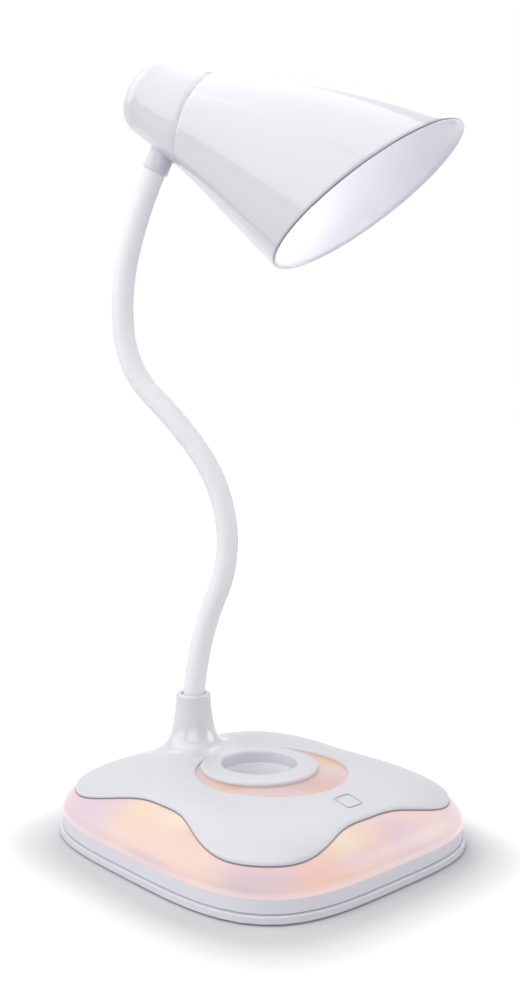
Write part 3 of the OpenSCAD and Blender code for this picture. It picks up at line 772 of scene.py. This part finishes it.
def lamp_inside():
    """The white cone round the diodes and the opal lens in front of it."""
    turns = turns_of(LAMP_SIDES)
    oval = lambda a, b, y, z: [(b * cos(t), y + a * sin(t), z) for t in turns]
    bm = bmesh.new()
    skin(bm, [oval(31.4, 27.7, -0.5, 37.7), oval(34.0, 29.8, -1.1, 46.0),
              oval(36.2, 31.5, -1.6, 54.0), oval(36.4, 31.7, -1.6, 54.6),
              oval(37.4, 32.7, -1.6, 54.6), oval(32.4, 28.7, -0.5, 37.7)], closed=True)
    move_all(bm, head_frame)
    finish_piece("white_cone", bm, "head", reflector_white, ["reflector"])
    bm = bmesh.new()
    shrink = [(0.02, 0.0), (0.5, 0.0), (0.9, 0.0), (0.985, 0.12), (1.0, 0.5), (1.0, 1.8),
              (0.985, 2.25), (0.94, 2.4), (0.5, 2.4), (0.02, 2.4)]
    made = skin(bm, [oval(38.3 * k, 33.4 * k, -1.7, 54.7 + z) for k, z in shrink])
    for ring in (made[0], made[-1]):
        bmesh.ops.contextual_create(bm, geom=ring)
    move_all(bm, head_frame)
    finish_piece("opal_lens", bm, "head", lens_opal, ["lens"])


base_plate_and_band()
light_dome()
top_moulding()
pen_well()
gooseneck()
bell_shade()
cap_shell()
neck_collar()
lamp_inside()


# ---- Room, light and camera ----

def seen_directly(tree):
    """1 for the camera's own rays and for those that gloss or glass send on, else 0."""
    path = add_node(tree, "ShaderNodeLightPath")
    either = add_node(tree, "ShaderNodeMath", {0: path.outputs["Is Camera Ray"],
                                               1: path.outputs["Is Glossy Ray"]},
                      operation="MAXIMUM")
    return add_node(tree, "ShaderNodeMath", {0: either.outputs[0],
                                             1: path.outputs["Is Transmission Ray"]},
                    operation="MAXIMUM").outputs[0]


def pale_floor():
    """A pale floor that shows white to the camera and keeps the lamp's shadow: its lift to
    white grows outwards from the base's outline, later on the side where the shadow
    falls, so a painted shadow lies round the base as well as the real one."""
    material, tree, output, where = new_material("pale floor")
    matte = add_node(tree, "ShaderNodeBsdfDiffuse", {"Color": hex_linear("#D4D4D6")})
    far = add_node(tree, "ShaderNodeVectorMath", {0: where}, operation="LENGTH")
    # The painted shadow's centre sits a little towards the front, where the shadow falls.
    shifted_to_shadow_side = add_node(tree, "ShaderNodeVectorMath", {0: where, 1: (0.009, 0.010, 0)})
    axes = add_node(tree, "ShaderNodeSeparateXYZ", {0: shifted_to_shadow_side.outputs[0]})
    total = 0.0
    for axis, half in (("X", HALF_W), ("Y", HALF_D)):
        part = axes.outputs[axis]
        for operation, by in (("MULTIPLY", 1000 / half), ("ABSOLUTE", 0.0), ("POWER", SQUARE_N)):
            step = add_node(tree, "ShaderNodeMath", {0: part, 1: by}, operation=operation)
            part = step.outputs[0]
        total = add_node(tree, "ShaderNodeMath", {0: part, 1: total}).outputs[0]
    gauge = add_node(tree, "ShaderNodeMath", {0: total, 1: 1 / SQUARE_N}, operation="POWER")
    # Painted shadow: no lift to white at the base's outline, full lift a third further out.
    lift_past_painted_shadow = add_node(tree, "ShaderNodeMapRange", {
        "Value": gauge.outputs[0], "From Min": 1.0, "From Max": 1.34, "To Max": 0.46})
    away = add_node(tree, "ShaderNodeMapRange", {
        "Value": far.outputs["Value"], "From Min": 0.20, "From Max": 1.6, "To Max": 0.50})
    reach = add_node(tree, "ShaderNodeMath", {0: lift_past_painted_shadow.outputs["Result"],
                                              1: away.outputs["Result"]})
    level = add_node(tree, "ShaderNodeMath", {0: seen_directly(tree), 1: reach.outputs[0]},
                     operation="MULTIPLY")
    lift = add_node(tree, "ShaderNodeEmission", {"Color": (1, 1, 1, 1),
                                                 "Strength": level.outputs[0]})
    both = add_node(tree, "ShaderNodeAddShader", {0: matte.outputs[0], 1: lift.outputs[0]})
    tree.links.new(both.outputs[0], output.inputs["Surface"])
    return material


def floor_plane():
    """The floor that the lamp stands on."""
    bm = bmesh.new()
    bmesh.ops.create_grid(bm, x_segments=1, y_segments=1, size=9.0)
    mesh = bpy.data.meshes.new("floor")
    bm.to_mesh(mesh)
    bm.free()
    mesh.materials.append(pale_floor())
    floor = bpy.data.objects.new("floor", mesh)
    bpy.context.scene.collection.objects.link(floor)


def studio():
    """A room that shows white and lights the lamp only weakly."""
    world = bpy.data.worlds.new("studio")
    bpy.context.scene.world = world
    world.use_nodes = True
    tree = world.node_tree
    tree.nodes.clear()
    level = add_node(tree, "ShaderNodeMapRange", {"Value": seen_directly(tree), "To Min": 0.16,
                                                  "To Max": 1.0})
    back = add_node(tree, "ShaderNodeBackground", {"Color": (1, 1, 1, 1),
                                                   "Strength": level.outputs["Result"]})
    add_node(tree, "ShaderNodeOutputWorld", {"Surface": back.outputs[0]})


def softbox(name, place, aim, width, height, watts):
    """A rectangular light that the camera doesn't see; places and sizes are in metres."""
    light = bpy.data.lights.new(name, "AREA")
    light.shape, light.size, light.size_y, light.energy = "RECTANGLE", width, height, watts
    lamp = bpy.data.objects.new(name, light)
    bpy.context.scene.collection.objects.link(lamp)
    lamp.location = place
    lamp.rotation_euler = (Vector(aim) - Vector(place)).to_track_quat("-Z", "Y").to_euler()
    lamp.visible_camera = False


# The camera's focal length and the photo's height, in the photo's pixels
FOCAL_PX, PHOTO_H, FILM = 1100, 995, 36.0


def camera():
    """A camera at the photo's viewing angle; its place and aim are in metres."""
    data = bpy.data.cameras.new("camera")
    data.sensor_width, data.lens = FILM, FOCAL_PX / PHOTO_H * FILM
    data.clip_start, data.clip_end = 0.01, 50
    made = bpy.data.objects.new("camera", data)
    bpy.context.scene.collection.objects.link(made)
    place = Vector((-0.33892, -0.36752, 0.19311))
    aim = Vector((0.01091, 0.01147, 0.15592))
    made.location = place
    made.rotation_euler = (aim - place).to_track_quat("-Z", "Y").to_euler()
    bpy.context.scene.camera = made


floor_plane()
studio()
softbox("overhead", (-0.30, 0.05, 1.95), (0, 0, 0.2), 1.95, 1.75, 16.0)
softbox("left", (-1.20, 0.74, 1.02), (0, 0, 0.33), 1.9, 1.7, 15.0)
softbox("right", (1.15, -0.90, 0.60), (0, 0, 0.12), 0.9, 0.8, 7.0)
softbox("front", (-1.05, -1.0, 0.75), (0, 0, 0.2), 1.4, 0.9, 8.0)
softbox("rear", (0.80, 0.88, 1.40), (0, 0, 0.05), 1.6, 0.8, 5.0)
camera()
bpy.context.scene.view_settings.view_transform = "Standard"

bpy.context.view_layer.update()
